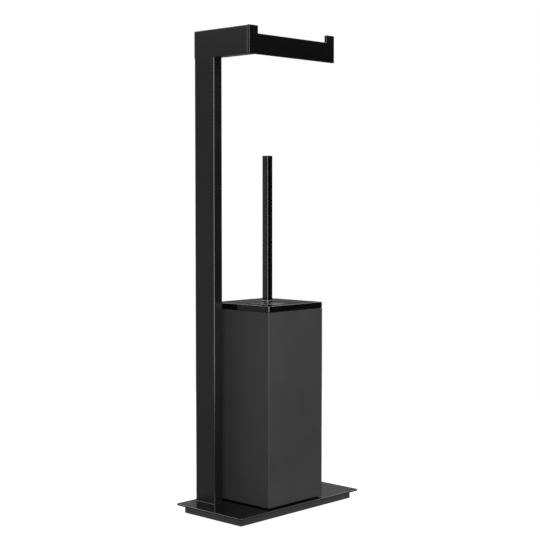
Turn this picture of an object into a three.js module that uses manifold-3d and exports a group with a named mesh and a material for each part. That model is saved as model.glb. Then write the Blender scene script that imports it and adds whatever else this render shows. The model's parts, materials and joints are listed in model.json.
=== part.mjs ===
// Free-standing toilet butler: a flat base with a rectangular post, a cross arm with a roll plate,
// and a square container that holds a removable brush. Millimetres, +Z up.
// The origin is under the middle of the base, +X runs along the base and the roll plate,
// and +Y points to the back, where the post stands.

import * as THREE from 'three';
import { mergeVertices } from 'three/addons/utils/BufferGeometryUtils.js';
import Module from 'manifold-3d';

const wasm = await Module();
wasm.setup();

// ---- driving dimensions -------------------------------------------------------------------

const TOTAL_HEIGHT = 650;
const SEAT_GAP = 0.1;      // between faces that rest on each other
const FIT_GAP = 0.3;       // around a piece that sits in a hole or a tube

const BASE_LENGTH = 238;
const BASE_DEPTH = 125.5;
const BASE_HEIGHT = 13.2;
const BASE_CORNER = 5;
const LIP_THICKNESS = 2;
const SKIRT_INSET = 8.3;
const SKIRT_WALL = 1.5;
const SKIRT_CORNER = 3;
const SKIRT_LIFT = 0.8;    // floor to the skirt's lower edge

const FOOT_RADIUS = 8;
const FOOT_THICKNESS = 1.7;
const FOOT_SPACING_X = 190;
const FOOT_SPACING_Y = 68;

const BALLAST_LENGTH = 212;
const BALLAST_DEPTH = 98;
const BALLAST_SLOT_WIDTH = 13; // clears the heads of the post's bolts
const BALLAST_STUD_RADIUS = 2.5;
const BALLAST_STUD_SPACING_X = 130;
const BALLAST_STUD_SPACING_Y = 56;
const BALLAST_NUT_ACROSS_FLATS = 8;
const BALLAST_NUT_HEIGHT = 4;

const TUBE_WIDTH = 15.5;   // post and arm share one rectangular section
const TUBE_DEPTH = 37;
const TUBE_WALL = 1.5;
const TUBE_CORNER = 0.8;
const POST_X = -79.6;      // middle of the post
const POST_BACK_Y = 55.9;

const POST_BOLT_RADIUS = 2.5;
const POST_BOLT_SPACING = 17;
const POST_BOLT_HEAD_RADIUS = 4.5;
const POST_BOLT_HEAD_HEIGHT = 2.8;
const POST_INSERT_HEIGHT = 24;
const WASHER_THICKNESS = 1;
const WASHER_RADIUS = 5.2;

const PLATE_LENGTH = 167.6; // roll plate
const PLATE_THICKNESS = 3.8;
const PLATE_FRONT_Y = -47.3;
const PLATE_TAB_WIDTH = 16.4;
const PLATE_TAB_RISE = 10.2;
const PLATE_CORNER = 1.5;
const PLATE_STUD_RADIUS = 2;
const PLATE_STUD_LENGTH = 10;
const PLATE_STUD_SPACING = 18;
const ARM_BLOCK_LENGTH = 13;
const ARM_CAP_THICKNESS = 2;
const GRUB_RADIUS = 2;

const BOX_SIDE = 107.2;    // container and lid
const BOX_X = -4.7;
const BOX_Y = -0.7;
const BOX_WALL = 1.2;
const BOX_CORNER = 1.8;
const BOX_TOP = 275.6;
const PAD_RADIUS = 6;
const PAD_THICKNESS = 1.2;
const PAD_SPACING = 84;

const POT_SIDE = 100;
const POT_WALL = 1.6;
const POT_CORNER = 9;
const POT_TOP = 267;
const POT_RIM_SIDE = 103.6;
const POT_RIM_HEIGHT = 2;

const LID_BOTTOM = 276;
const LID_TOP = 284.1;
const LID_CROWN = 4.2;     // thickness of the lid's top
const LID_SPIGOT_SIDE = 103.8;
const LID_SPIGOT_WALL = 1.5;
const LID_SPIGOT_DEPTH = 6.5;

const DISC_RADIUS = 38.5;
const DISC_THICKNESS = 2.8;
const DISC_PROUD = 0.7;    // how far the disc stands above the lid
const DISC_HOLE_RADIUS = 36.6;
const SEAL_THICKNESS = 0.8;
const SEAL_INNER_RADIUS = 37.2;

const HANDLE_SIDE = 10;
const HANDLE_WALL = 1;
const HANDLE_CORNER = 0.8;
const HANDLE_TOP = 484.3;
const HANDLE_CAP_DEPTH = 6;
const COLLAR_SIDE = 12;
const COLLAR_HEIGHT = 1.6;
const ROD_RADIUS = 3;      // threaded rod between handle and stem
const ROD_PLUG_HEIGHT = 22;
const ROD_BELOW_DISC = 20;
const LOCK_NUT_ACROSS_FLATS = 12;
const LOCK_NUT_HEIGHT = 4;

const STEM_RADIUS = 5;
const STEM_LOW_Z = 76;
const CORE_RADIUS = 11;
const CORE_LOW_Z = 32;
const CORE_TOP_Z = 98;
const CORE_SHOULDER_Z = 90;
const BRISTLE_RADIUS = 35;
const BRISTLE_LOW_Z = 22;
const BRISTLE_TOP_Z = 88;
const BRISTLE_ROUNDING = 12;

// ---- finishes -----------------------------------------------------------------------------

const finish = (color, roughness, metalness) => ({ color, roughness, metalness });
const STAND_LACQUER = finish(0x1c1c1e, 0.28, 0.3);
const CONTAINER_LACQUER = finish(0x2a2a2c, 0.5, 0.2);
const GLOSS_LACQUER = finish(0x141416, 0.12, 0.3);
const BRIGHT_METAL = finish(0xb8b8ba, 0.22, 1);
const ZINC_STEEL = finish(0x8c8f92, 0.4, 1);
const CAST_BALLAST = finish(0x4a4b4d, 0.7, 0.9);
const BLACK_RUBBER = finish(0x1a1a1a, 0.85, 0);
const GREY_PLASTIC = finish(0x3a3c3e, 0.5, 0);
const BLACK_PLASTIC = finish(0x202022, 0.45, 0);
const BLACK_NYLON = finish(0x17171a, 0.6, 0);

// ---- shape helpers ------------------------------------------------------------------------

const CORNER_STEPS = 4;
const ROUND_STEPS = 40;

function roundedRectangle(width, depth, radius) {
  const x = width / 2;
  const y = depth / 2;
  const shape = new THREE.Shape();
  shape.absarc(x - radius, y - radius, radius, 0, Math.PI / 2);
  shape.absarc(radius - x, y - radius, radius, Math.PI / 2, Math.PI);
  shape.absarc(radius - x, radius - y, radius, Math.PI, 1.5 * Math.PI);
  shape.absarc(x - radius, radius - y, radius, 1.5 * Math.PI, 2 * Math.PI);
  shape.closePath();
  return shape;
}

function prism(shape, low, high) {
  const geometry = new THREE.ExtrudeGeometry(shape, {
    depth: high - low,
    bevelEnabled: false,
    curveSegments: CORNER_STEPS,
  });
  return geometry.translate(0, 0, low);
}

function block(width, depth, low, high, radius = 0.5) {
  return prism(roundedRectangle(width, depth, radius), low, high);
}

// A closed outline of [radius, z] points, turned about the Z axis.
function turned(points, steps = ROUND_STEPS) {
  const outline = [...points, points[0]].map(([r, z]) => new THREE.Vector2(r, z));
  return new THREE.LatheGeometry(outline, steps).rotateX(Math.PI / 2);
}

function disc(radius, low, high, steps = ROUND_STEPS) {
  return turned([[0, low], [radius, low], [radius, high], [0, high]], steps);
}

function ring(inner, outer, low, high, steps = ROUND_STEPS) {
  return turned([[inner, low], [outer, low], [outer, high], [inner, high]], steps);
}

function hexagon(acrossFlats, low, high) {
  return disc(acrossFlats / Math.sqrt(3), low, high, 6);
}

function moved(geometry, x, y, z = 0) {
  return geometry.clone().translate(x, y, z);
}

function solid(geometry) {
  const bare = geometry.clone();
  bare.deleteAttribute('normal');
  bare.deleteAttribute('uv');
  const merged = mergeVertices(bare, 1e-4);
  return new wasm.Manifold(new wasm.Mesh({
    numProp: 3,
    vertProperties: new Float32Array(merged.attributes.position.array),
    triVerts: new Uint32Array(merged.index.array),
  }));
}

function geometryOf(manifold) {
  const mesh = manifold.getMesh();
  const geometry = new THREE.BufferGeometry();
  geometry.setAttribute('position', new THREE.BufferAttribute(mesh.vertProperties, 3));
  geometry.setIndex(new THREE.BufferAttribute(mesh.triVerts, 1));
  geometry.computeVertexNormals();
  return geometry;
}

function join(...geometries) {
  return geometryOf(geometries.map(solid).reduce((whole, next) => whole.add(next)));
}

function cut(geometry, ...tools) {
  return geometryOf(tools.map(solid).reduce((rest, tool) => rest.subtract(tool), solid(geometry)));
}

function place(parent, name, geometry, look, [x, y, z] = [0, 0, 0]) {
  const mesh = new THREE.Mesh(geometry, new THREE.MeshStandardMaterial(look));
  mesh.name = name;
  mesh.position.set(x, y, z);
  parent.add(mesh);
  return mesh;
}

// The four corners of a rectangle, counted from front left to back right.
function corners(spacingX, spacingY) {
  const places = [];
  for (const y of [-spacingY / 2, spacingY / 2]) {
    for (const x of [-spacingX / 2, spacingX / 2]) {
      places.push([x, y]);
    }
  }
  return places;
}

// ---- base ---------------------------------------------------------------------------------

const PLATE_UNDERSIDE = BASE_HEIGHT - LIP_THICKNESS;
const POST_Y = POST_BACK_Y - TUBE_DEPTH / 2;
const POST_BOLTS = [-1, 1].map((side) => [POST_X, POST_Y - 2 + side * POST_BOLT_SPACING / 2]);
const BALLAST_STUDS = corners(BALLAST_STUD_SPACING_X, BALLAST_STUD_SPACING_Y);
const BALLAST_LOW = FOOT_THICKNESS + SEAT_GAP;
const BALLAST_HIGH = PLATE_UNDERSIDE - SEAT_GAP;

function basePlate() {
  const sheet = block(BASE_LENGTH, BASE_DEPTH, PLATE_UNDERSIDE, BASE_HEIGHT, BASE_CORNER);
  const studLow = BALLAST_LOW + 1;
  const studs = BALLAST_STUDS.map(([x, y]) =>
    moved(disc(BALLAST_STUD_RADIUS, studLow, PLATE_UNDERSIDE + 0.5, 16), x, y));
  const holes = POST_BOLTS.map(([x, y]) =>
    moved(disc(POST_BOLT_RADIUS + FIT_GAP, PLATE_UNDERSIDE - 1, BASE_HEIGHT + 1, 20), x, y));
  return cut(join(sheet, ...studs), ...holes);
}

function baseSkirt() {
  const length = BASE_LENGTH - 2 * SKIRT_INSET;
  const depth = BASE_DEPTH - 2 * SKIRT_INSET;
  const top = PLATE_UNDERSIDE - SEAT_GAP;
  const outer = block(length, depth, SKIRT_LIFT, top, SKIRT_CORNER);
  const inner = block(length - 2 * SKIRT_WALL, depth - 2 * SKIRT_WALL, 0, BASE_HEIGHT,
    SKIRT_CORNER - SKIRT_WALL);
  return cut(outer, inner);
}

// A slab with an open slot in its back edge for the post's bolts, and a well round each stud.
function ballast() {
  const slab = block(BALLAST_LENGTH, BALLAST_DEPTH, BALLAST_LOW, BALLAST_HIGH, 4);
  const slotReach = BALLAST_DEPTH / 2 - POST_BOLTS[0][1] + BALLAST_SLOT_WIDTH / 2;
  const slot = moved(block(BALLAST_SLOT_WIDTH, 2 * slotReach, 0, BASE_HEIGHT, BALLAST_SLOT_WIDTH / 2 - 0.1),
    POST_X, BALLAST_DEPTH / 2);
  const holes = BALLAST_STUDS.flatMap(([x, y]) => [
    moved(disc(BALLAST_STUD_RADIUS + FIT_GAP, 0, BASE_HEIGHT, 16), x, y),
    moved(disc(BALLAST_NUT_ACROSS_FLATS / 2 + 2.5, 0, BALLAST_LOW + BALLAST_NUT_HEIGHT + 1, 24), x, y),
  ]);
  return cut(slab, slot, ...holes);
}

function hexNut(acrossFlats, height, holeRadius) {
  return cut(hexagon(acrossFlats, 0, height), disc(holeRadius, -1, height + 1, 20));
}

function addBase(parent) {
  place(parent, 'base_plate', basePlate(), STAND_LACQUER);
  place(parent, 'base_skirt', baseSkirt(), STAND_LACQUER);
  place(parent, 'base_ballast', ballast(), CAST_BALLAST);
  corners(FOOT_SPACING_X, FOOT_SPACING_Y).forEach(([x, y], i) => {
    place(parent, `base_foot_${i + 1}`, disc(FOOT_RADIUS, 0, FOOT_THICKNESS, 28), BLACK_RUBBER, [x, y, 0]);
  });
  BALLAST_STUDS.forEach(([x, y], i) => {
    const nut = hexNut(BALLAST_NUT_ACROSS_FLATS, BALLAST_NUT_HEIGHT, BALLAST_STUD_RADIUS + 0.1);
    place(parent, `ballast_nut_${i + 1}`, nut, ZINC_STEEL, [x, y, BALLAST_LOW + 1 - SEAT_GAP]);
  });
}

// ---- post and arm -------------------------------------------------------------------------

const ARM_BOTTOM = TOTAL_HEIGHT - TUBE_DEPTH;
const ARM_MIDDLE = TOTAL_HEIGHT - TUBE_DEPTH / 2;
const ARM_FRONT_Y = PLATE_FRONT_Y + PLATE_THICKNESS + SEAT_GAP;
const ARM_LENGTH = POST_BACK_Y - ARM_FRONT_Y;
const BORE_WIDTH = TUBE_WIDTH - 2 * TUBE_WALL;
const BORE_DEPTH = TUBE_DEPTH - 2 * TUBE_WALL;
const INSERT_WIDTH = BORE_WIDTH - 2 * FIT_GAP;
const INSERT_DEPTH = BORE_DEPTH - 2 * FIT_GAP;

// A length of the tube, standing on its end, with square bore.
function standTube(low, high) {
  const outer = block(TUBE_WIDTH, TUBE_DEPTH, low, high, TUBE_CORNER);
  return cut(outer, block(BORE_WIDTH, BORE_DEPTH, low - 1, high + 1, 0.3));
}

// Button-head bolt from below: head down, shank up, socket in the head.
function postBolt() {
  const headLow = PLATE_UNDERSIDE - SEAT_GAP - WASHER_THICKNESS - SEAT_GAP - POST_BOLT_HEAD_HEIGHT;
  const headHigh = headLow + POST_BOLT_HEAD_HEIGHT;
  const shankTop = BASE_HEIGHT + POST_INSERT_HEIGHT - 6;
  const profile = [
    [0, headLow], [POST_BOLT_HEAD_RADIUS - 1.6, headLow], [POST_BOLT_HEAD_RADIUS, headLow + 1.8],
    [POST_BOLT_HEAD_RADIUS, headHigh], [POST_BOLT_RADIUS, headHigh], [POST_BOLT_RADIUS, shankTop],
    [0, shankTop],
  ];
  return cut(turned(profile, 24), hexagon(3, headLow - 1, headLow + 1.6));
}

function postInsert() {
  const low = BASE_HEIGHT + SEAT_GAP;
  const body = block(INSERT_WIDTH, INSERT_DEPTH, low, low + POST_INSERT_HEIGHT);
  const holes = POST_BOLTS.map(([, y]) =>
    moved(disc(POST_BOLT_RADIUS + 0.1, low - 1, BASE_HEIGHT + POST_INSERT_HEIGHT - 5, 20), 0, y - POST_Y));
  return cut(body, ...holes);
}

function addPost(parent) {
  const tube = standTube(BASE_HEIGHT + SEAT_GAP, ARM_BOTTOM - SEAT_GAP);
  place(parent, 'post_tube', tube, STAND_LACQUER, [POST_X, POST_Y, 0]);
  place(parent, 'post_foot_insert', postInsert(), ZINC_STEEL, [POST_X, POST_Y, 0]);
  POST_BOLTS.forEach(([x, y], i) => {
    const low = PLATE_UNDERSIDE - SEAT_GAP - WASHER_THICKNESS;
    const washer = ring(POST_BOLT_RADIUS + FIT_GAP, WASHER_RADIUS, low, low + WASHER_THICKNESS, 28);
    place(parent, `post_washer_${i + 1}`, washer, ZINC_STEEL, [x, y, 0]);
    place(parent, `post_bolt_${i + 1}`, postBolt(), ZINC_STEEL, [x, y, 0]);
  });
}

// Pieces along the arm are drawn standing on end and laid down, so their local +Z runs to the back.
function layDown(geometry) {
  return geometry.clone().rotateX(-Math.PI / 2);
}

const PLATE_STUD_Z = [-1, 1].map((side) => ARM_MIDDLE + side * PLATE_STUD_SPACING / 2);
const GRUB_Y = ARM_FRONT_Y + PLATE_STUD_LENGTH / 2;

function armTube() {
  const tube = layDown(standTube(0, ARM_LENGTH)).translate(POST_X, ARM_FRONT_Y, ARM_MIDDLE);
  const grubHole = disc(GRUB_RADIUS + FIT_GAP, ARM_BOTTOM - 1, ARM_BOTTOM + TUBE_WALL + 1, 20);
  return cut(tube, moved(grubHole, POST_X, GRUB_Y));
}

function armBlock() {
  const body = layDown(block(INSERT_WIDTH, INSERT_DEPTH, 0, ARM_BLOCK_LENGTH));
  const studHole = layDown(disc(PLATE_STUD_RADIUS + FIT_GAP, -1, PLATE_STUD_LENGTH + 1, 20));
  const studHoles = PLATE_STUD_Z.map((z) => moved(studHole, POST_X, ARM_FRONT_Y, z));
  const grubHole = disc(GRUB_RADIUS + 0.1, ARM_BOTTOM, PLATE_STUD_Z[0], 20);
  return cut(moved(body, POST_X, ARM_FRONT_Y + SEAT_GAP, ARM_MIDDLE), ...studHoles,
    moved(grubHole, POST_X, GRUB_Y));
}

function rollPlate() {
  const r = PLATE_CORNER;
  const seat = TUBE_DEPTH - PLATE_TAB_RISE;
  const outline = new THREE.Shape();
  outline.moveTo(0, 0);
  outline.lineTo(PLATE_LENGTH, 0);
  outline.absarc(PLATE_LENGTH - r, TUBE_DEPTH - r, r, 0, Math.PI / 2);
  outline.absarc(PLATE_LENGTH - PLATE_TAB_WIDTH + r, TUBE_DEPTH - r, r, Math.PI / 2, Math.PI);
  outline.lineTo(PLATE_LENGTH - PLATE_TAB_WIDTH, seat);
  outline.lineTo(PLATE_TAB_WIDTH, seat);
  outline.absarc(PLATE_TAB_WIDTH - r, TUBE_DEPTH - r, r, 0, Math.PI / 2);
  outline.lineTo(0, TUBE_DEPTH);
  outline.closePath();
  return prism(outline, 0, PLATE_THICKNESS).rotateX(Math.PI / 2);
}

function grubScrew() {
  const low = ARM_BOTTOM + 0.4;
  const high = PLATE_STUD_Z[0] - PLATE_STUD_RADIUS - SEAT_GAP;
  return cut(disc(GRUB_RADIUS, low, high, 20), hexagon(2, low - 1, low + 2));
}

function addArm(parent) {
  place(parent, 'arm_tube', armTube(), STAND_LACQUER);
  const capShape = layDown(block(INSERT_WIDTH, INSERT_DEPTH, 0, ARM_CAP_THICKNESS));
  place(parent, 'arm_rear_cap', capShape, BLACK_PLASTIC,
    [POST_X, POST_BACK_Y - ARM_CAP_THICKNESS - SEAT_GAP, ARM_MIDDLE]);
  place(parent, 'arm_front_block', armBlock(), ZINC_STEEL);
  place(parent, 'roll_plate', rollPlate(), STAND_LACQUER,
    [POST_X - TUBE_WIDTH / 2, PLATE_FRONT_Y + PLATE_THICKNESS, ARM_BOTTOM]);
  PLATE_STUD_Z.forEach((z, i) => {
    const stud = layDown(disc(PLATE_STUD_RADIUS, 0, PLATE_STUD_LENGTH, 20));
    place(parent, `roll_plate_stud_${i + 1}`, stud, ZINC_STEEL, [POST_X, ARM_FRONT_Y, z]);
  });
  place(parent, 'arm_grub_screw', grubScrew(), ZINC_STEEL, [POST_X, GRUB_Y, 0]);
}

// ---- container ----------------------------------------------------------------------------

const BOX_LOW = BASE_HEIGHT + PAD_THICKNESS + 2 * SEAT_GAP;
const POT_LOW = BOX_LOW + BOX_WALL + SEAT_GAP;

function containerShell() {
  const inside = BOX_SIDE - 2 * BOX_WALL;
  return cut(block(BOX_SIDE, BOX_SIDE, BOX_LOW, BOX_TOP, BOX_CORNER),
    block(inside, inside, BOX_LOW + BOX_WALL, BOX_TOP + 1, BOX_CORNER - BOX_WALL));
}

function innerPot() {
  const inside = POT_SIDE - 2 * POT_WALL;
  const wall = block(POT_SIDE, POT_SIDE, POT_LOW, POT_TOP, POT_CORNER);
  const rim = block(POT_RIM_SIDE, POT_RIM_SIDE, POT_TOP - POT_RIM_HEIGHT, POT_TOP, POT_CORNER + 1);
  const hollow = block(inside, inside, POT_LOW + POT_WALL, POT_TOP + 1, POT_CORNER - POT_WALL);
  return cut(join(wall, rim), hollow);
}

function addContainer(parent) {
  place(parent, 'container_shell', containerShell(), CONTAINER_LACQUER);
  corners(PAD_SPACING, PAD_SPACING).forEach(([x, y], i) => {
    const low = BASE_HEIGHT + SEAT_GAP;
    const pad = disc(PAD_RADIUS, low, low + PAD_THICKNESS, 24);
    place(parent, `container_pad_${i + 1}`, pad, BLACK_RUBBER, [x, y, 0]);
  });
  place(parent, 'inner_pot', innerPot(), GREY_PLASTIC);
}

// ---- lid and brush ------------------------------------------------------------------------

const DISC_TOP = LID_TOP + DISC_PROUD;
const DISC_LOW = DISC_TOP - DISC_THICKNESS;
const SEAL_LOW = DISC_LOW - SEAT_GAP - SEAL_THICKNESS;
const HANDLE_LOW = DISC_TOP + COLLAR_HEIGHT + 2 * SEAT_GAP;
const LOCK_NUT_HIGH = DISC_LOW - SEAT_GAP;
const ROD_LOW = DISC_LOW - ROD_BELOW_DISC;
const STEM_TOP = LOCK_NUT_HIGH - LOCK_NUT_HEIGHT - SEAT_GAP;

function lid() {
  const spigotLow = LID_BOTTOM - LID_SPIGOT_DEPTH;
  const inside = LID_SPIGOT_SIDE - 2 * LID_SPIGOT_WALL;
  const cap = block(BOX_SIDE, BOX_SIDE, LID_BOTTOM, LID_TOP, BOX_CORNER);
  const spigot = block(LID_SPIGOT_SIDE, LID_SPIGOT_SIDE, spigotLow, LID_BOTTOM + 1, BOX_CORNER);
  const hollow = block(inside, inside, spigotLow - 1, LID_TOP - LID_CROWN, BOX_CORNER);
  const opening = disc(DISC_HOLE_RADIUS, spigotLow - 1, LID_TOP + 1, 64);
  const seat = disc(DISC_RADIUS + 2 * FIT_GAP, SEAL_LOW - SEAT_GAP, LID_TOP + 1, 64);
  return cut(join(cap, spigot), hollow, opening, seat);
}

function handleTube() {
  const bore = HANDLE_SIDE - 2 * HANDLE_WALL;
  return cut(block(HANDLE_SIDE, HANDLE_SIDE, HANDLE_LOW, HANDLE_TOP, HANDLE_CORNER),
    block(bore, bore, HANDLE_LOW - 1, HANDLE_TOP + 1, 0.3));
}

function handleCap() {
  const side = HANDLE_SIDE - 2 * HANDLE_WALL - FIT_GAP;
  return block(side, side, HANDLE_TOP - HANDLE_CAP_DEPTH, HANDLE_TOP);
}

function handleRod() {
  const side = HANDLE_SIDE - 2 * HANDLE_WALL - FIT_GAP;
  const plug = block(side, side, HANDLE_LOW, HANDLE_LOW + ROD_PLUG_HEIGHT);
  return join(plug, disc(ROD_RADIUS, ROD_LOW, HANDLE_LOW + 1, 24));
}

function handleCollar() {
  const low = DISC_TOP + SEAT_GAP;
  return cut(block(COLLAR_SIDE, COLLAR_SIDE, low, low + COLLAR_HEIGHT, 1.2),
    disc(ROD_RADIUS + FIT_GAP, low - 1, low + COLLAR_HEIGHT + 1, 24));
}

function coverDisc() {
  const chamfer = 0.5;
  const hole = ROD_RADIUS + FIT_GAP;
  return turned([
    [hole, DISC_LOW], [DISC_RADIUS, DISC_LOW], [DISC_RADIUS, DISC_TOP - chamfer],
    [DISC_RADIUS - chamfer, DISC_TOP], [hole, DISC_TOP],
  ], 64);
}

function brushStem() {
  const socketLow = ROD_LOW - 2;
  return turned([
    [0, STEM_LOW_Z], [STEM_RADIUS, STEM_LOW_Z], [STEM_RADIUS, STEM_TOP - 14],
    [STEM_RADIUS + 1.5, STEM_TOP - 10], [STEM_RADIUS + 1.5, STEM_TOP],
    [ROD_RADIUS + FIT_GAP, STEM_TOP], [ROD_RADIUS + FIT_GAP, socketLow], [0, socketLow],
  ], 28);
}

function brushCore() {
  const socket = STEM_RADIUS + FIT_GAP;
  return turned([
    [0, CORE_LOW_Z], [CORE_RADIUS - 4, CORE_LOW_Z], [CORE_RADIUS, CORE_LOW_Z + 4],
    [CORE_RADIUS, CORE_SHOULDER_Z], [socket + 2, CORE_TOP_Z], [socket, CORE_TOP_Z],
    [socket, STEM_LOW_Z - SEAT_GAP], [0, STEM_LOW_Z - SEAT_GAP],
  ], 32);
}

// The space that the bristles fill, wrapped around the core and under it.
function bristles() {
  const inner = CORE_RADIUS + FIT_GAP;
  const profile = [[0, BRISTLE_LOW_Z]];
  const steps = 6;
  for (let i = 0; i <= steps; i += 1) {
    const angle = (i / steps) * Math.PI / 2;
    profile.push([
      BRISTLE_RADIUS - BRISTLE_ROUNDING * (1 - Math.sin(angle)),
      BRISTLE_LOW_Z + BRISTLE_ROUNDING * (1 - Math.cos(angle)),
    ]);
  }
  profile.push([BRISTLE_RADIUS, BRISTLE_TOP_Z - 5], [BRISTLE_RADIUS - 5, BRISTLE_TOP_Z]);
  profile.push([inner, BRISTLE_TOP_Z], [inner, CORE_LOW_Z - FIT_GAP], [0, CORE_LOW_Z - FIT_GAP]);
  return turned(profile, 36);
}

function addBrush(parent) {
  place(parent, 'cover_disc', coverDisc(), GLOSS_LACQUER);
  const seal = ring(SEAL_INNER_RADIUS, DISC_RADIUS, SEAL_LOW, SEAL_LOW + SEAL_THICKNESS, 64);
  place(parent, 'disc_seal', seal, BLACK_RUBBER);
  place(parent, 'handle_collar', handleCollar(), BRIGHT_METAL);
  place(parent, 'handle_tube', handleTube(), GLOSS_LACQUER);
  place(parent, 'handle_cap', handleCap(), GLOSS_LACQUER);
  place(parent, 'handle_rod', handleRod(), ZINC_STEEL);
  const nut = hexNut(LOCK_NUT_ACROSS_FLATS, LOCK_NUT_HEIGHT, ROD_RADIUS + 0.1);
  place(parent, 'disc_lock_nut', nut, ZINC_STEEL, [0, 0, LOCK_NUT_HIGH - LOCK_NUT_HEIGHT]);
  place(parent, 'brush_stem', brushStem(), BLACK_PLASTIC);
  place(parent, 'brush_core', brushCore(), BLACK_PLASTIC);
  place(parent, 'bristles', bristles(), BLACK_NYLON);
}

// ---- assembly -----------------------------------------------------------------------------

const butler = new THREE.Group();

const stand = new THREE.Group();
addBase(stand);
addPost(stand);
addArm(stand);
butler.add(stand);

const brushSet = new THREE.Group();
brushSet.position.set(BOX_X, BOX_Y, 0);
addContainer(brushSet);
place(brushSet, 'lid', lid(), GLOSS_LACQUER);
addBrush(brushSet);
butler.add(brushSet);

export default butler;
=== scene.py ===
import contextlib
import json
import math
import random
import bmesh
import bpy
from mathutils import Matrix, Vector


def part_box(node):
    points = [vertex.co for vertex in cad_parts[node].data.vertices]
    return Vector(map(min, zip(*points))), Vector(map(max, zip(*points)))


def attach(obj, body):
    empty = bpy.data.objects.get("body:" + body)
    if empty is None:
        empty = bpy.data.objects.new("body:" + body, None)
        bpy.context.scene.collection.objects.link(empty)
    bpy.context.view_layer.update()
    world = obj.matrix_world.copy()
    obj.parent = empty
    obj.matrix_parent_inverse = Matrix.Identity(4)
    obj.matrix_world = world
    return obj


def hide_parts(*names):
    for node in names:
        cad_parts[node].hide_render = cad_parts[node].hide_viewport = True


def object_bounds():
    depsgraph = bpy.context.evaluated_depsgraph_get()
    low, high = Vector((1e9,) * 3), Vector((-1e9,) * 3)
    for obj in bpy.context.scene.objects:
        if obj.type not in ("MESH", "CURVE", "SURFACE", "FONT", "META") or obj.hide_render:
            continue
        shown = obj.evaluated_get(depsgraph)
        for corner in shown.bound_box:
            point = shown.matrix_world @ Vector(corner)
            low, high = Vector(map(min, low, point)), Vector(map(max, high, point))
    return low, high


# A free-standing toilet butler in black lacquer. The sizes come from the frame, in metres, +Z up.
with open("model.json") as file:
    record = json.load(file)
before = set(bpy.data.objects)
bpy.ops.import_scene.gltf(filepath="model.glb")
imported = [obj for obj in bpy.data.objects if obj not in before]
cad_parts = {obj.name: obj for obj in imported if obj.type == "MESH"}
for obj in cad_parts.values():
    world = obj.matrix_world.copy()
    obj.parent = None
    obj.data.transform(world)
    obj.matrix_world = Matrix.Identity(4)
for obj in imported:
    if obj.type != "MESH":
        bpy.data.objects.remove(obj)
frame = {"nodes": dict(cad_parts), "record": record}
cad_low, cad_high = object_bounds()

MM = 0.001
SAME_POINT = 0.002 * MM   # points closer than this are one
NEAR = 0.01 * MM          # slack when edges are picked by where they lie
TUBE_WALL = 1.5 * MM      # post and arm
TUBE_CORNER = 1.3 * MM
TAB_WIDTH = 16.4 * MM     # upturned ends of the roll plate
SHEET_WALL = 0.9 * MM     # container
ROD_RADIUS = 3 * MM       # the threaded rod through the cover disc
ROD_HOLE = 3.3 * MM       # the holes it passes through
HEAD_ROUNDING = 4 * MM    # lower end of the brush head
HAIR_LENGTH = 24 * MM     # the bristle that all others are copied from
random.seed(7)


# ---- modelling by hand ----------------------------------------------------------------------


def only(piece):
    """Selects one piece and makes it the active one."""
    bpy.ops.object.select_all(action="DESELECT")
    piece.select_set(True)
    bpy.context.view_layer.objects.active = piece


@contextlib.contextmanager
def editing(piece):
    only(piece)
    bpy.ops.object.mode_set(mode="EDIT")
    yield
    bpy.ops.object.mode_set(mode="OBJECT")


def pick(piece, kind, test):
    """In edit mode, selects the faces, edges or vertices that pass the test, and nothing else."""
    bpy.ops.mesh.select_mode(type=kind)
    bpy.ops.mesh.select_all(action="DESELECT")
    mesh = bmesh.from_edit_mesh(piece.data)
    for element in {"FACE": mesh.faces, "EDGE": mesh.edges, "VERT": mesh.verts}[kind]:
        if test(element):
            element.select_set(True)
    mesh.select_flush_mode()
    bmesh.update_edit_mesh(piece.data)


def run(edge):
    """The direction an edge runs in."""
    return (edge.verts[1].co - edge.verts[0].co).normalized()


def upright(edge):
    return abs(run(edge).z) > 0.99


def sharp(edge):
    """Whether its two faces turn by more than about 57 degrees."""
    return edge.calc_face_angle(0) > 1


def anything(element):
    return True


def lies_at(axis, place):
    """A test for edges whose ends both lie at a place along an axis: 0 for X, 1 for Y, 2 for Z."""
    return lambda edge: all(abs(vert.co[axis] - place) < NEAR for vert in edge.verts)


def faces_way(direction, at=None):
    """A test for faces that look along a direction, and lie at a height along it if that is given."""
    way = Vector(direction)

    def test(face):
        height = face.calc_center_median().dot(way)
        return face.normal.dot(way) > 0.95 and (at is None or abs(height - at) < 0.1 * MM)

    return test


def pull(move):
    """In edit mode, extrudes what is selected."""
    bpy.ops.mesh.extrude_region_move(TRANSFORM_OT_translate={"value": move})


def block(name, low, high):
    low, high = Vector(low), Vector(high)
    bpy.ops.object.select_all(action="DESELECT")
    bpy.ops.mesh.primitive_cube_add(size=1, location=(low + high) / 2)
    piece = bpy.context.object
    piece.name = name
    piece.scale = high - low
    bpy.ops.object.transform_apply(location=True, rotation=True, scale=True)
    return piece


def apply(piece, kind, **settings):
    """Adds a modifier with these settings and applies it."""
    only(piece)
    modifier = piece.modifiers.new(kind.lower(), kind)
    for key, value in settings.items():
        setattr(modifier, key, value)
    bpy.ops.object.modifier_apply(modifier=modifier.name)
    return piece


def soften(piece, width, steps=3):
    """Rounds every edge sharper than the arcs that are already there."""
    return apply(piece, "BEVEL", width=width, segments=steps, limit_method="ANGLE",
                 angle_limit=math.radians(35), use_clamp_overlap=True)


def wall(piece, thickness):
    """Gives an open shell a wall, inwards."""
    return apply(piece, "SOLIDIFY", thickness=thickness, offset=-1, use_even_offset=True)


def carve(piece, cutter, operation="DIFFERENCE"):
    apply(piece, "BOOLEAN", operation=operation, solver="EXACT", object=cutter)
    bpy.data.objects.remove(cutter)
    return piece


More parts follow.
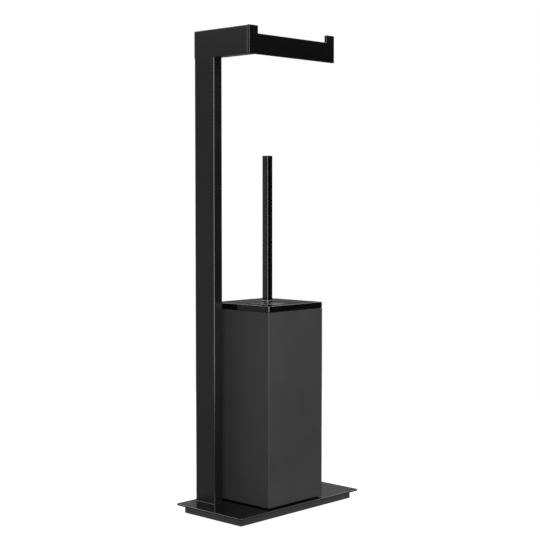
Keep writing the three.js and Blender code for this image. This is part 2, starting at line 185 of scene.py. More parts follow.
def cleaned(piece, distance):
    """Takes out the slivers that a boolean leaves."""
    with editing(piece):
        bpy.ops.mesh.select_all(action="SELECT")
        bpy.ops.mesh.dissolve_limited(angle_limit=math.radians(0.5))
        bpy.ops.mesh.select_all(action="SELECT")
        bpy.ops.mesh.remove_doubles(threshold=distance)
    return piece


def round_edges(piece, test, radius, steps=8):
    """Rounds the edges that pass the test."""
    with editing(piece):
        pick(piece, "EDGE", test)
        bpy.ops.mesh.bevel(offset=radius, segments=steps, affect="EDGES")
    return piece


def slab(name, low, high, corner, steps=8):
    """A block with rounded upright edges."""
    return round_edges(block(name, low, high), upright, corner, steps)


def open_side(piece, *directions):
    """Takes away the faces that look these ways."""
    with editing(piece):
        pick(piece, "FACE", lambda face: any(faces_way(way)(face) for way in directions))
        bpy.ops.mesh.delete(type="FACE")
    return piece


def turned(name, outline, centre, steps=72):
    """A body of revolution from (radius, height) points, spun about an upright axis."""
    points = [Vector((radius, 0, height)) for radius, height in outline]
    bpy.ops.object.select_all(action="DESELECT")
    bpy.ops.mesh.primitive_plane_add(size=MM, location=points[0])
    piece = bpy.context.object
    piece.name = name
    bpy.ops.object.transform_apply(location=True, rotation=True, scale=True)
    with editing(piece):
        bpy.ops.mesh.select_mode(type="VERT")
        bpy.ops.mesh.select_all(action="SELECT")
        bpy.ops.mesh.merge(type="CENTER")
        for start, end in zip(points, points[1:]):
            pull(end - start)
        bpy.ops.mesh.select_all(action="SELECT")
        bpy.ops.mesh.spin(steps=steps, angle=2 * math.pi, center=(0, 0, 0), axis=(0, 0, 1))
        bpy.ops.mesh.select_all(action="SELECT")
        bpy.ops.mesh.remove_doubles(threshold=0.002 * MM)
        bpy.ops.mesh.normals_make_consistent(inside=False)
    piece.location = (centre[0], centre[1], 0)
    bpy.ops.object.transform_apply(location=True, rotation=True, scale=True)
    return piece


def joined(name, pieces):
    bpy.ops.object.select_all(action="DESELECT")
    for piece in pieces:
        piece.select_set(True)
    bpy.context.view_layer.objects.active = pieces[0]
    bpy.ops.object.join()
    pieces[0].name = name
    return pieces[0]


def finished(piece, body, slot, finish, *nodes, smooth=35, merge=True):
    """Merges doubled points, shades the piece, finishes it and puts it on its body in place of its nodes.

    The merge is off for a tube whose rounding is smaller than its wall, since its inner corners meet.
    """
    if merge:
        with editing(piece):
            bpy.ops.mesh.select_all(action="SELECT")
            bpy.ops.mesh.remove_doubles(threshold=SAME_POINT)
    only(piece)
    bpy.ops.object.shade_smooth_by_angle(angle=math.radians(smooth))
    apply(piece, "WEIGHTED_NORMAL", keep_sharp=True, weight=80)
    piece.data.materials.clear()
    piece.data.materials.append(finish)
    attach(piece, body)
    if nodes:
        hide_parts(*nodes)
    return piece


def middle(node):
    low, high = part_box(node)
    return (low + high) / 2


# ---- finishes -------------------------------------------------------------------------------


class Wire:
    """An output socket whose operators add Math nodes."""

    def __init__(self, sheet, socket):
        self.sheet = sheet
        self.socket = socket

    def math(self, operation, *others):
        return self.sheet.node("ShaderNodeMath", {"operation": operation}, dict(enumerate((self, *others))))

    def __add__(self, other):
        return self.math("ADD", other)

    def __sub__(self, other):
        return self.math("SUBTRACT", other)

    def __rsub__(self, other):
        return self.sheet.node("ShaderNodeMath", {"operation": "SUBTRACT"}, {0: other, 1: self})

    def __mul__(self, other):
        return self.math("MULTIPLY", other)

    __radd__ = __add__
    __rmul__ = __mul__


class Sheet:
    """A node tree under construction."""

    def __init__(self, tree):
        self.tree = tree

    def node(self, kind, settings=None, sockets=None, output=0):
        made = self.tree.nodes.new(kind)
        for key, value in (settings or {}).items():
            setattr(made, key, value)
        for key, value in (sockets or {}).items():
            self.feed(made.inputs[key], value)
        return Wire(self, made.outputs[output]) if made.outputs else None

    def feed(self, socket, value):
        if isinstance(value, Wire):
            self.tree.links.new(value.socket, socket)
        else:
            socket.default_value = value

    def noise(self, scale, detail=3, roughness=0.55, stretch=(1, 1, 1)):
        """Noise on the piece's own coordinates; scale is in waves a metre."""
        place = self.node("ShaderNodeTexCoord", output="Object")
        if stretch != (1, 1, 1):
            place = self.node("ShaderNodeMapping", sockets={"Vector": place, "Scale": stretch})
        return self.node("ShaderNodeTexNoise", sockets={
            "Vector": place, "Scale": scale, "Detail": detail, "Roughness": roughness,
        })

    def between(self, mask, low, high):
        """The mask eased from 0 at low to 1 at high."""
        return self.node("ShaderNodeMapRange", {"interpolation_type": "SMOOTHSTEP"}, {
            "Value": mask, "From Min": low, "From Max": high,
        })

    def mix(self, mask, first, second):
        return self.node("ShaderNodeMix", {"data_type": "RGBA"}, {
            "Factor": mask, 6: (*first, 1), 7: (*second, 1),
        }, output=2)

    def bump(self, height, distance):
        return self.node("ShaderNodeBump", sockets={"Height": height, "Distance": distance, "Strength": 1.0})


def finish(name, **constants):
    """A new Principled material, with constants set on its sockets; returns it, its sheet and its shader."""
    material = bpy.data.materials.new(name)
    material.use_nodes = True
    shader = material.node_tree.nodes["Principled BSDF"]
    for socket, value in constants.items():
        shader.inputs[socket.replace("_", " ")].default_value = value
    return material, Sheet(material.node_tree), shader.inputs


def lacquer(name, dark, light, smooth, rough, grain=0.05, ior=1.5, sheen=0.5):
    """Sprayed lacquer: slow drift of tone, orange peel, and a fine grain in the sheen."""
    material, sheet, shader = finish(name, IOR=ior, Specular_IOR_Level=sheen)
    drift = sheet.between(sheet.noise(9, 2), 0.3, 0.7)
    speckle = sheet.noise(1900, 2)
    cloud = sheet.between(sheet.noise(38, 4), 0.35, 0.65)
    sheet.feed(shader["Base Color"], sheet.mix(drift * 0.7 + speckle * 0.3, dark, light))
    sheet.feed(shader["Roughness"], smooth + (rough - smooth) * (cloud * 0.6 + speckle * 0.4))
    peel = sheet.noise(300, 1, 0.3) + sheet.noise(1500, 1) * grain
    sheet.feed(shader["Normal"], sheet.bump(peel, 0.003 * MM))
    return material


def plated(name, tone, rough, lines):
    """Bare metal with fine tool marks."""
    material, sheet, shader = finish(name, Metallic=1.0)
    marks = sheet.noise(500, 3, 0.6, stretch=lines)
    stain = sheet.between(sheet.noise(60, 4), 0.4, 0.7)
    worn = tuple(c * 0.72 for c in tone)
    sheet.feed(shader["Base Color"], sheet.mix(stain * 0.6 + marks * 0.4, tone, worn))
    sheet.feed(shader["Roughness"], rough + 0.22 * marks + 0.1 * stain)
    sheet.feed(shader["Normal"], sheet.bump(marks, 0.02 * MM))
    return material


def cast(name):
    """Raw ballast steel: mill scale with a few rusty freckles."""
    material, sheet, shader = finish(name)
    scale = sheet.between(sheet.noise(120, 5, 0.7), 0.35, 0.7)
    rust = sheet.between(sheet.noise(260, 6, 0.7), 0.62, 0.72)
    body = sheet.mix(scale, (0.05, 0.052, 0.056), (0.11, 0.112, 0.118))
    tinted = sheet.node("ShaderNodeMix", {"data_type": "RGBA"}, {
        "Factor": rust, 6: body, 7: (0.16, 0.07, 0.03, 1),
    }, output=2)
    sheet.feed(shader["Base Color"], tinted)
    sheet.feed(shader["Metallic"], 0.85 - 0.75 * rust)
    sheet.feed(shader["Roughness"], 0.45 + 0.25 * scale + 0.2 * rust)
    sheet.feed(shader["Normal"], sheet.bump(sheet.noise(700, 4, 0.7), 0.15 * MM))
    return material


def moulded(name, dark, light, rough, grain):
    """Plastic or rubber from a finely eroded mould."""
    material, sheet, shader = finish(name, IOR=1.46)
    skin = sheet.noise(3200, 2, 0.6)
    flow = sheet.between(sheet.noise(30, 3), 0.3, 0.7)
    sheet.feed(shader["Base Color"], sheet.mix(flow * 0.6 + skin * 0.4, dark, light))
    sheet.feed(shader["Roughness"], rough + 0.12 * skin - 0.06 * flow)
    sheet.feed(shader["Normal"], sheet.bump(skin, grain))
    return material


STAND = lacquer("stand_lacquer", (0.0026, 0.0026, 0.0028), (0.0042, 0.0042, 0.0045), 0.16, 0.24)
PLATE = lacquer("plate_lacquer", (0.0010, 0.0010, 0.0011), (0.0018, 0.0018, 0.0020), 0.12, 0.18, ior=1.45)
SATIN = lacquer("container_lacquer", (0.0150, 0.0150, 0.0155), (0.0185, 0.0185, 0.0190), 0.48, 0.56,
                grain=0.3, sheen=0.32)
GLOSS = lacquer("gloss_lacquer", (0.0006, 0.0006, 0.0008), (0.0012, 0.0012, 0.0014), 0.05, 0.09, grain=0.0)
HANDLE = lacquer("handle_lacquer", (0.0002, 0.0002, 0.0003), (0.0005, 0.0005, 0.0006), 0.07, 0.12,
                 grain=0.0, ior=1.75)
SEAM = lacquer("seam_lacquer", (0.0026, 0.0026, 0.0028), (0.0042, 0.0042, 0.0045), 0.36, 0.44, sheen=0.25)
CHROME = plated("bright_metal", (0.24, 0.24, 0.25), 0.10, (1, 1, 12))
ZINC = plated("zinc_steel", (0.46, 0.47, 0.48), 0.25, (1, 1, 6))
BALLAST = cast("ballast_steel")
RUBBER = moulded("black_rubber", (0.010, 0.010, 0.010), (0.018, 0.018, 0.018), 0.72, 0.03 * MM)
POT = moulded("pot_plastic", (0.040, 0.042, 0.044), (0.052, 0.054, 0.056), 0.42, 0.012 * MM)
PLASTIC = moulded("black_plastic", (0.010, 0.010, 0.011), (0.016, 0.016, 0.017), 0.36, 0.010 * MM)
NYLON = moulded("black_nylon", (0.007, 0.007, 0.008), (0.022, 0.022, 0.024), 0.30, 0.004 * MM)


# ---- base -----------------------------------------------------------------------------------


def base():
    """The top plate on its four weld studs, the skirt set in under it, and a black rubber seal between the two
    that stands in for the shade under the plate's lip.
    """
    low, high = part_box("base_plate")
    skirt_low, skirt_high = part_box("base_skirt")
    plate = slab("base_top", (low.x, low.y, skirt_high.z), high, 5 * MM, steps=12)
    round_edges(plate, lies_at(2, high.z), 0.7 * MM, steps=5)
    finished(soften(plate, 0.3 * MM), "stand", "stand_lacquer", PLATE, "base_plate")
    stud_radius = 2.5 * MM
    stud_chamfer = 0.5 * MM
    for number in range(1, 5):
        stud = turned(f"ballast_stud_{number}", [
            (0, low.z), (stud_radius - stud_chamfer, low.z), (stud_radius, low.z + stud_chamfer),
            (stud_radius, skirt_high.z), (0, skirt_high.z),
        ], middle(f"ballast_nut_{number}"), 24)
        finished(stud, "stand", "zinc_steel", ZINC)
    corner = 3 * MM
    sheet = 1.5 * MM
    joint = skirt_high.z - 1.2 * MM
    skirt = slab("base_skirt_frame", skirt_low, (skirt_high.x, skirt_high.y, joint), corner)
    open_side(skirt, (0, 0, 1), (0, 0, -1))
    wall(skirt, sheet)
    finished(soften(skirt, 0.3 * MM), "stand", "stand_lacquer", STAND, "base_skirt")
    # The seal is a dark band at the top of the skirt, put there for the shade that falls under the lip.
    seal = slab("skirt_shade_seal", (skirt_low.x, skirt_low.y, joint), skirt_high, corner)
    open_side(seal, (0, 0, 1), (0, 0, -1))
    wall(seal, sheet)
    finished(soften(seal, 0.2 * MM, 2), "stand", "black_rubber", RUBBER)


def foot(name, node, body):
    """A rubber disc with a chamfered rim and a ring groove in its underside."""
    low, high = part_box(node)
    r = (high.x - low.x) / 2
    groove = 0.3 * MM
    rim = 0.5 * MM
    outline = [(0, low.z), (r * 0.42, low.z), (r * 0.46, low.z + groove), (r * 0.56, low.z + groove),
               (r * 0.60, low.z), (r - rim, low.z), (r, low.z + rim), (r, high.z), (0, high.z)]
    finished(turned(name, outline, middle(node), 40), body, "black_rubber", RUBBER, node)


# ---- post, arm and roll plate ---------------------------------------------------------------


def stand_frame():
    """Post and arm as one welded and ground tube, with eased edges at its foot and its front end."""
    post_low, post_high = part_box("post_tube")
    arm_low, arm_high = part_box("arm_tube")
    at_foot = lies_at(2, post_low.z)
    at_front = lies_at(1, arm_low.y)
    at_rear = lies_at(1, arm_high.y)

    def of_arm(face):
        return face.calc_center_median().z > arm_low.z

    def along_tube(edge):
        behind_arm = at_rear(edge) and all(vert.co.z > arm_low.z - 1 * MM for vert in edge.verts)
        return sharp(edge) and abs(run(edge).x) < 0.01 and not at_front(edge) and not behind_arm

    def open_end(face):
        if faces_way((0, 0, -1), -post_low.z)(face) or faces_way((0, -1, 0), -arm_low.y)(face):
            return True
        return faces_way((0, 1, 0))(face) and of_arm(face)

    tube = block("stand_frame", post_low, (post_high.x, post_high.y, arm_low.z))
    with editing(tube):
        pick(tube, "FACE", faces_way((0, 0, 1)))
        pull((0, 0, arm_high.z - arm_low.z))
        pick(tube, "FACE", lambda face: faces_way((0, -1, 0))(face) and of_arm(face))
        pull((0, arm_low.y - post_low.y, 0))
        pick(tube, "EDGE", along_tube)
        bpy.ops.mesh.bevel(offset=TUBE_CORNER, segments=5, affect="EDGES")
        pick(tube, "EDGE", lambda edge: sharp(edge) and (at_foot(edge) or at_front(edge)))
        bpy.ops.mesh.bevel(offset=0.6 * MM, segments=4, affect="EDGES")
        pick(tube, "FACE", open_end)
        bpy.ops.mesh.delete(type="FACE")
    wall(tube, TUBE_WALL)
    finished(soften(tube, 0.2 * MM, 2), "stand", "stand_lacquer", STAND, "post_tube", "arm_tube", merge=False)


def foot_bead():
    """The small sloping bead that closes the joint between post and base."""
    low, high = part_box("post_tube")
    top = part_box("base_plate")[1].z
    leg = 0.6 * MM
    bead = slab("foot_bead", (low.x - leg, low.y - leg, top), (high.x + leg, high.y + leg, top + leg),
                TUBE_CORNER + leg)
    round_edges(bead, lies_at(2, top + leg), 0.9 * leg, steps=1)
    carve(bead, slab("bead_opening", (low.x, low.y, top - leg), (high.x, high.y, top + 2 * leg), TUBE_CORNER))
    finished(bead, "stand", "stand_lacquer", SEAM)


def arm_plug():
    """A plastic plug with a dished face."""
    rim = 1.2 * MM
    dish = 0.4 * MM
    plug = block("arm_plug", *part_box("arm_rear_cap"))
    with editing(plug):
        pick(plug, "FACE", faces_way((0, 1, 0)))
        bpy.ops.mesh.inset(thickness=rim)
        pull((0, -dish, 0))
    finished(soften(plug, 0.3 * MM), "stand", "black_plastic", PLASTIC, "arm_rear_cap")


def roll_plate():
    """A flat bar whose two ends are drawn up into tabs with rounded upper corners."""
    low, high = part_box("roll_plate")
    seat = frame["record"]["mounts"][1]["pos_m"][2]
    bar = block("roll_plate_bar", low, (high.x, high.y, seat))

    def end_face(face):
        off_centre = abs(face.calc_center_median().x - (low.x + high.x) / 2)
        return faces_way((0, 0, 1))(face) and off_centre > TAB_WIDTH

    def tab_corner(edge):
        first, second = (vert.co.x for vert in edge.verts)
        return lies_at(2, high.z)(edge) and abs(first - second) < NEAR and first > low.x + NEAR

    with editing(bar):
        for x in (low.x + TAB_WIDTH, high.x - TAB_WIDTH):
            pick(bar, "FACE", anything)
            bpy.ops.mesh.bisect(plane_co=(x, 0, 0), plane_no=(1, 0, 0))
        pick(bar, "FACE", end_face)
        pull((0, 0, high.z - seat))
        pick(bar, "EDGE", tab_corner)
        bpy.ops.mesh.bevel(offset=1.5 * MM, segments=6, affect="EDGES")
    finished(soften(bar, 0.5 * MM, 4), "stand", "stand_lacquer", PLATE, "roll_plate")


# ---- container and pot ----------------------------------------------------------------------


def container():
    """A folded sheet box with a rounded bottom edge, open at the top."""
    low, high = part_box("container_shell")
    box = slab("container_box", low, high, 1.0 * MM, steps=5)
    round_edges(box, lies_at(2, low.z), 0.8 * MM, steps=4)
    open_side(box, (0, 0, 1))
    wall(box, SHEET_WALL)
    finished(soften(box, 0.3 * MM), "container", "container_lacquer", SATIN, "container_shell")


def pot():
    """A moulded tub with rounded corners, a soft base edge and a turned-out rim."""
    low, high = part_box("inner_pot")
    overhang = 1.8 * MM
    inset = overhang + 0.2 * MM
    rim = 2 * MM
    corner = 9 * MM
    tub = slab("pot_tub", (low.x + overhang, low.y + overhang, low.z),
               (high.x - overhang, high.y - overhang, high.z), corner, steps=10)
    round_edges(tub, lies_at(2, low.z), 3 * MM, steps=5)
    open_side(tub, (0, 0, 1))
    wall(tub, 1.6 * MM)
    collar = slab("pot_collar", (low.x, low.y, high.z - rim), high, corner + 1 * MM, steps=10)
    mouth = slab("pot_mouth", (low.x + inset, low.y + inset, low.z),
                 (high.x - inset, high.y - inset, high.z + rim), corner, steps=10)
    carve(collar, mouth)
    carve(tub, collar, "UNION")
    finished(soften(cleaned(tub, 0.05 * MM), 0.4 * MM), "pot", "pot_plastic", POT, "inner_pot")


# ---- lid ------------------------------------------------------------------------------------


def lid():
    """A square cap with a spigot below it and a stepped round opening for the cover disc."""
    low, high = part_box("lid")
    disc_low, disc_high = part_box("cover_disc")
    corner = 1.8 * MM
    spigot = 1.7 * MM
    ceiling = 4.2 * MM
    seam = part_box("container_shell")[1].z + 0.4 * MM
    cap = slab("lid_cap", (low.x, low.y, seam), high, corner)
    soften(cap, 0.5 * MM, 4)
    plug = slab("lid_plug", (low.x + spigot, low.y + spigot, low.z),
                (high.x - spigot, high.y - spigot, seam + 1 * MM), corner)
    carve(cap, plug, "UNION")
    inner = spigot + 1.5 * MM
    carve(cap, slab("lid_hollow", (low.x + inner, low.y + inner, low.z - 1 * MM),
                    (high.x - inner, high.y - inner, high.z - ceiling), corner))
    seat = (disc_high.x - disc_low.x) / 2 + 0.6 * MM
    top = high.z + 1 * MM
    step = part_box("disc_seal")[0].z - 0.1 * MM
    mouth = seat - 2.5 * MM
    edge = 0.4 * MM
    cutter = turned("lid_opening", [
        (0, low.z), (mouth, low.z), (mouth, step), (seat, step), (seat, high.z - edge),
        (seat + edge, high.z), (seat + edge, top), (0, top),
    ], middle("cover_disc"), 128)
    carve(cap, cutter)
    finished(cap, "lid", "gloss_lacquer", GLOSS, "lid")


# ---- brush ----------------------------------------------------------------------------------


def cover_disc():
    """The round cover with an eased rim, and the flat ring that seals it on the lid."""
    low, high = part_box("cover_disc")
    r = (high.x - low.x) / 2
    chamfer = 0.3 * MM
    disc = turned("cover_disc_top", [
        (ROD_HOLE, low.z), (r - chamfer, low.z), (r, low.z + chamfer), (r, high.z - 0.7 * MM),
        (r - 0.25 * MM, high.z - 0.22 * MM), (r - 0.8 * MM, high.z), (ROD_HOLE, high.z), (ROD_HOLE, low.z),
    ], middle("cover_disc"), 128)
    finished(disc, "brush", "gloss_lacquer", GLOSS, "cover_disc")
    low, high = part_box("disc_seal")
    inner = r - 1.3 * MM
    chamfer = 0.2 * MM
    seal = turned("disc_seal_ring", [
        (inner, low.z + chamfer), (inner + chamfer, low.z), (r - chamfer, low.z), (r, low.z + chamfer),
        (r, high.z), (inner, high.z), (inner, low.z + chamfer),
    ], middle("disc_seal"), 96)
    finished(seal, "brush", "black_rubber", RUBBER, "disc_seal")


def handle():
    """A square tube, the cap in its top and the bright ring at its foot."""
    tube = slab("handle_bar", *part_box("handle_tube"), 0.65 * MM, steps=5)
    open_side(tube, (0, 0, 1), (0, 0, -1))
    wall(tube, 0.6 * MM)
    finished(soften(tube, 0.2 * MM, 2), "brush", "gloss_lacquer", HANDLE, "handle_tube")
    plug = slab("handle_plug", *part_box("handle_cap"), 0.4 * MM, steps=3)
    finished(soften(plug, 0.35 * MM, 3), "brush", "gloss_lacquer", HANDLE, "handle_cap")
    collar = slab("handle_ring", *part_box("handle_collar"), 1.2 * MM, steps=5)
    finished(soften(collar, 0.4 * MM, 4), "brush", "bright_metal", CHROME, "handle_collar")


def thread(name, centre, radius, pitch, low, high):
    """A screw thread: one V, wound up with a Screw modifier, round a plain core."""
    depth = 0.6 * pitch
    chamfer = 0.4 * MM
    bpy.ops.object.select_all(action="DESELECT")
    bpy.ops.mesh.primitive_plane_add(size=pitch, location=(0, 0, 0))
    coil = bpy.context.object
    with editing(coil):
        bpy.ops.mesh.select_mode(type="VERT")
        bpy.ops.mesh.select_all(action="SELECT")
        bpy.ops.mesh.merge(type="CENTER")
        pull((depth, 0, pitch / 2))
        pull((-depth, 0, pitch / 2))
    coil.location = (radius - depth, 0, low)
    only(coil)
    bpy.ops.object.transform_apply(location=True, rotation=True, scale=True)
    turns = int((high - low) / pitch) - 1
    apply(coil, "SCREW", axis="Z", screw_offset=pitch, iterations=turns, steps=24,
          use_merge_vertices=True, merge_threshold=0.001 * MM)
    coil.location = (centre.x, centre.y, 0)
    only(coil)
    bpy.ops.object.transform_apply(location=True, rotation=True, scale=True)
    core_radius = radius - depth * 0.9
    core = turned(name, [
        (0, low), (core_radius - chamfer, low), (core_radius, low + chamfer), (core_radius, high), (0, high),
    ], centre, 24)
    return joined(name, [core, coil])


def hex_nut(name, node, hole):
    """A nut with chamfered corners and a countersunk bore."""
    low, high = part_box(node)
    corner = (high.y - low.y) / 2
    face = 0.86 * corner
    centre = middle(node)
    bpy.ops.object.select_all(action="DESELECT")
    bpy.ops.mesh.primitive_cylinder_add(vertices=6, radius=corner, depth=high.z - low.z, location=centre)
    nut = bpy.context.object
    nut.name = name
    bpy.ops.object.transform_apply(location=True, rotation=True, scale=True)
    slope = 0.14 * corner
    lens = turned("nut_lens", [
        (0, low.z), (face, low.z), (corner, low.z + slope), (corner, high.z - slope),
        (face, high.z), (0, high.z),
    ], centre, 48)
    carve(nut, lens, "INTERSECT")
    sink = 0.4 * MM
    bore = turned("nut_bore", [
        (0, low.z - sink), (hole + 2 * sink, low.z - sink), (hole, low.z + sink), (hole, high.z - sink),
        (hole + 2 * sink, high.z + sink), (0, high.z + sink),
    ], centre, 32)
    return carve(nut, bore)


def rod_and_nut():
    """The plug in the handle's foot with its threaded rod, and the nut that holds the disc on it."""
    low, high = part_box("handle_rod")
    centre = middle("handle_rod")
    collar_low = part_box("handle_collar")[0].z
    plug = slab("rod_plug", (low.x, low.y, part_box("handle_tube")[0].z), high, 0.4 * MM, steps=2)
    shank = thread("rod_thread", centre, ROD_RADIUS, 1 * MM, low.z, collar_low)
    rod = joined("threaded_rod", [plug, shank])
    finished(rod, "brush", "zinc_steel", ZINC, "handle_rod")
    finished(hex_nut("lock_nut", "disc_lock_nut", 3.1 * MM), "brush", "zinc_steel", ZINC, "disc_lock_nut")


def stem():
    """A plastic rod with three grip ribs under a head that takes the threaded rod."""
    low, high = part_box("brush_stem")
    r = 5 * MM
    rib_radius = r + 1.2 * MM
    socket = high.z - 16 * MM
    outline = [(0, low.z), (r, low.z), (r, socket)]
    for rib in range(3):
        z = high.z - (15 - 3 * rib) * MM
        outline += [(r, z), (rib_radius, z + 0.6 * MM), (rib_radius, z + 1.4 * MM), (r, z + 2 * MM)]
    outline += [(r + 1.5 * MM, high.z - 5 * MM), (r + 1.5 * MM, high.z), (ROD_HOLE, high.z),
                (ROD_HOLE, socket), (0, socket)]
    piece = turned("stem_rod", outline, middle("brush_stem"), 40)
    finished(soften(piece, 0.3 * MM, 2), "brush", "black_plastic", PLASTIC, "brush_stem")


def core():
    """The brush head: a cylinder with a rounded end and a tapered neck round the stem."""
    low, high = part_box("brush_core")
    r = (high.x - low.x) / 2
    neck = 7.3 * MM
    bore = 5.3 * MM
    bore_end = high.z - 20 * MM
    outline = [(0, low.z)]
    for i in range(7):
        angle = i / 6 * math.pi / 2
        outline.append((r - HEAD_ROUNDING * (1 - math.sin(angle)), low.z + HEAD_ROUNDING * (1 - math.cos(angle))))
    outline += [(r, high.z - 8 * MM), (neck, high.z - 1 * MM), (neck, high.z), (bore, high.z),
                (bore, bore_end), (0, bore_end)]
    piece = turned("brush_head", outline, middle("brush_core"), 48)
    finished(piece, "brush", "black_plastic", PLASTIC, "brush_core")


def filament(length):
    """One stiff three-sided bristle along +Z, thinner at its tip."""
    bpy.ops.object.select_all(action="DESELECT")
    bpy.ops.mesh.primitive_cone_add(vertices=3, radius1=0.30 * MM, radius2=0.17 * MM, depth=length,
                                    location=(0, 0, length / 2), end_fill_type="NGON")
    piece = bpy.context.object
    bpy.ops.object.transform_apply(location=True, rotation=True, scale=True)
    with editing(piece):
        pick(piece, "FACE", anything)
        bpy.ops.mesh.bisect(plane_co=(0, 0, length * 0.5), plane_no=(0, 0, 1))
    return piece


def tuft(model, base, direction, length, spread):
    """A bundle of bristles set into the head at one point, each a copy of the model."""
    hairs = []
    up = direction.to_track_quat("Z", "Y").to_matrix().to_4x4()
    for ring, count in ((0, 1), (0.45, 6), (0.9, 10)):
        for i in range(count):
            turn = 2 * math.pi * (i + 0.5 * random.random()) / count
            lean = Vector((math.cos(turn), math.sin(turn), 0)) * ring
            hair = model.copy()
            hair.data = model.data.copy()
            bpy.context.scene.collection.objects.link(hair)
            reach = length * random.uniform(0.95, 1.0) / HAIR_LENGTH
            stray = Vector((random.uniform(-1, 1), random.uniform(-1, 1), 0)) * 0.03
            tilt = Vector((0, 0, 1)) + lean * spread + stray
            aim = tilt.to_track_quat("Z", "Y").to_matrix().to_4x4()
            grow = Matrix.Diagonal((1, 1, reach, 1))
            root = Matrix.Translation(lean * 0.9 * MM)
            hair.data.transform(Matrix.Translation(base) @ up @ root @ aim @ grow)
            hairs.append(hair)
    return hairs


def inside_head(point, low, high, centre):
    """Whether a point lies within the rounded outline that the bristles fill."""
    r = math.hypot(point.x - centre.x, point.y - centre.y)
    full = (high.x - low.x) / 2
    rounding = 12 * MM
    shoulder = high.z - 5 * MM
    if point.z < low.z + rounding:
        drop = (low.z + rounding - point.z) / rounding
        return drop < 1 and r < full - rounding * (1 - math.sqrt(1 - drop * drop))
    if point.z > shoulder:
        return r < full - (point.z - high.z + 5 * MM) and point.z < high.z
    return r < full


def tuft_seats(low, radius, top):
    """Height, distance from the axis, droop and turn of each tuft: rows round the head, rings on its end."""
    seats = []
    rows = 11
    tufts = 15
    first = low + HEAD_ROUNDING
    last = top - 4.5 * MM
    for row in range(rows):
        z = first + row * (last - first) / (rows - 1)
        for i in range(tufts):
            seats.append((z, radius - 0.5 * MM, 0.0, 2 * math.pi * (i + 0.5 * (row % 2)) / tufts))
    sunk = 0.3 * MM
    for ring, count in enumerate((15, 14, 12, 9, 6, 1)):
        drop = (ring + 1) / 6 * math.pi / 2
        flat = (radius - HEAD_ROUNDING) * (1 - (ring / 5) ** 2)
        away = flat + HEAD_ROUNDING * math.cos(drop) - sunk
        for i in range(count):
            z = low + HEAD_ROUNDING * (1 - math.sin(drop)) + sunk
            seats.append((z, max(away, 0), drop, 2 * math.pi * (i + 0.5 * (ring % 2)) / count))
    return seats


def bristles():
    """Tufts round the brush head and over its end, each grown until it reaches the outline."""
    low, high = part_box("bristles")
    core_low, core_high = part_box("brush_core")
    centre = middle("bristles")
    head_radius = (core_high.x - core_low.x) / 2
    model = filament(HAIR_LENGTH)
    growth = 0.5 * MM
    hairs = []
    for z, radius, drop, turn in tuft_seats(core_low.z, head_radius, high.z):
        out = Vector((math.cos(turn), math.sin(turn), 0))
        base = Vector((centre.x, centre.y, z)) + out * radius
        direction = out * math.cos(drop) + Vector((0, 0, -math.sin(drop)))
        length = 2 * MM
        while inside_head(base + direction * (length + growth), low, high, centre):
            length += growth
        hairs += tuft(model, base, direction, length, 0.075)
    bpy.data.objects.remove(model)
    piece = joined("bristle_tufts", hairs)
    finished(piece, "brush", "black_nylon", NYLON, "bristles", smooth=60)


# ---- pieces whose CAD shape is right --------------------------------------------------------


def keep(node, material):
    """Gives a CAD node its finish."""
    piece = frame["nodes"][node]
    piece.data.materials.clear()
    piece.data.materials.append(material)


base()
for number in range(1, 5):
    foot(f"foot_{number}", f"base_foot_{number}", "stand")
    foot(f"pad_{number}", f"container_pad_{number}", "container")
    finished(hex_nut(f"hex_nut_{number}", f"ballast_nut_{number}", 2.6 * MM), "stand", "zinc_steel", ZINC,
             f"ballast_nut_{number}")
stand_frame()
foot_bead()
arm_plug()
roll_plate()
container()
pot()
lid()
cover_disc()
handle()
rod_and_nut()
stem()
core()
bristles()
keep("base_ballast", BALLAST)
for node in ("post_foot_insert", "post_washer_1", "post_washer_2", "post_bolt_1", "post_bolt_2",
             "arm_front_block", "arm_grub_screw", "roll_plate_stud_1", "roll_plate_stud_2"):
    keep(node, ZINC)


# ---- studio ---------------------------------------------------------------------------------

CAMERA_PLACE = Vector((-1.2565, -1.1927, 0.4252))
CAMERA_TURN = -46.52      # degrees, counter-clockwise from above; 0 looks along +Y
CAMERA_DIP = 3.217        # degrees below the horizon
LENS = 84.07              # millimetres
FLOOR_RADIUS = 1.2
POOL = (0.016, 0.027)     # how far out from the base the bright floor starts to fade, and ends
POOL_GLOW = 0.66          # how bright it is to a reflection
VIEW_FLOOR = 0.86         # makes the floor white to the camera

# How bright the room and the far floor are to a reflection, by direction: degrees from +X, and level.
ROOM = (
    (-180, 0.15), (-137, 0.25), (-90, 0.10), (-43, 0.015), (0, 0.28), (43, 0.18), (90, 0.34), (137, 0.34),
    (180, 0.15),
)
FAR_FLOOR = (
    (-180, 0.15), (-137, 0.25), (-90, 0.10), (-43, 0.02), (0, 0.45), (43, 0.14), (90, 0.30), (137, 0.34),
    (180, 0.15),
)


def camera():
    data = bpy.data.cameras.new("camera")
    data.lens = LENS
    data.sensor_width = 36
    data.clip_start, data.clip_end = 0.05, 50
    eye = bpy.data.objects.new("camera", data)
    bpy.context.scene.collection.objects.link(eye)
    eye.location = CAMERA_PLACE
    eye.rotation_euler = (math.radians(90 - CAMERA_DIP), 0, math.radians(CAMERA_TURN))
    bpy.context.scene.camera = eye


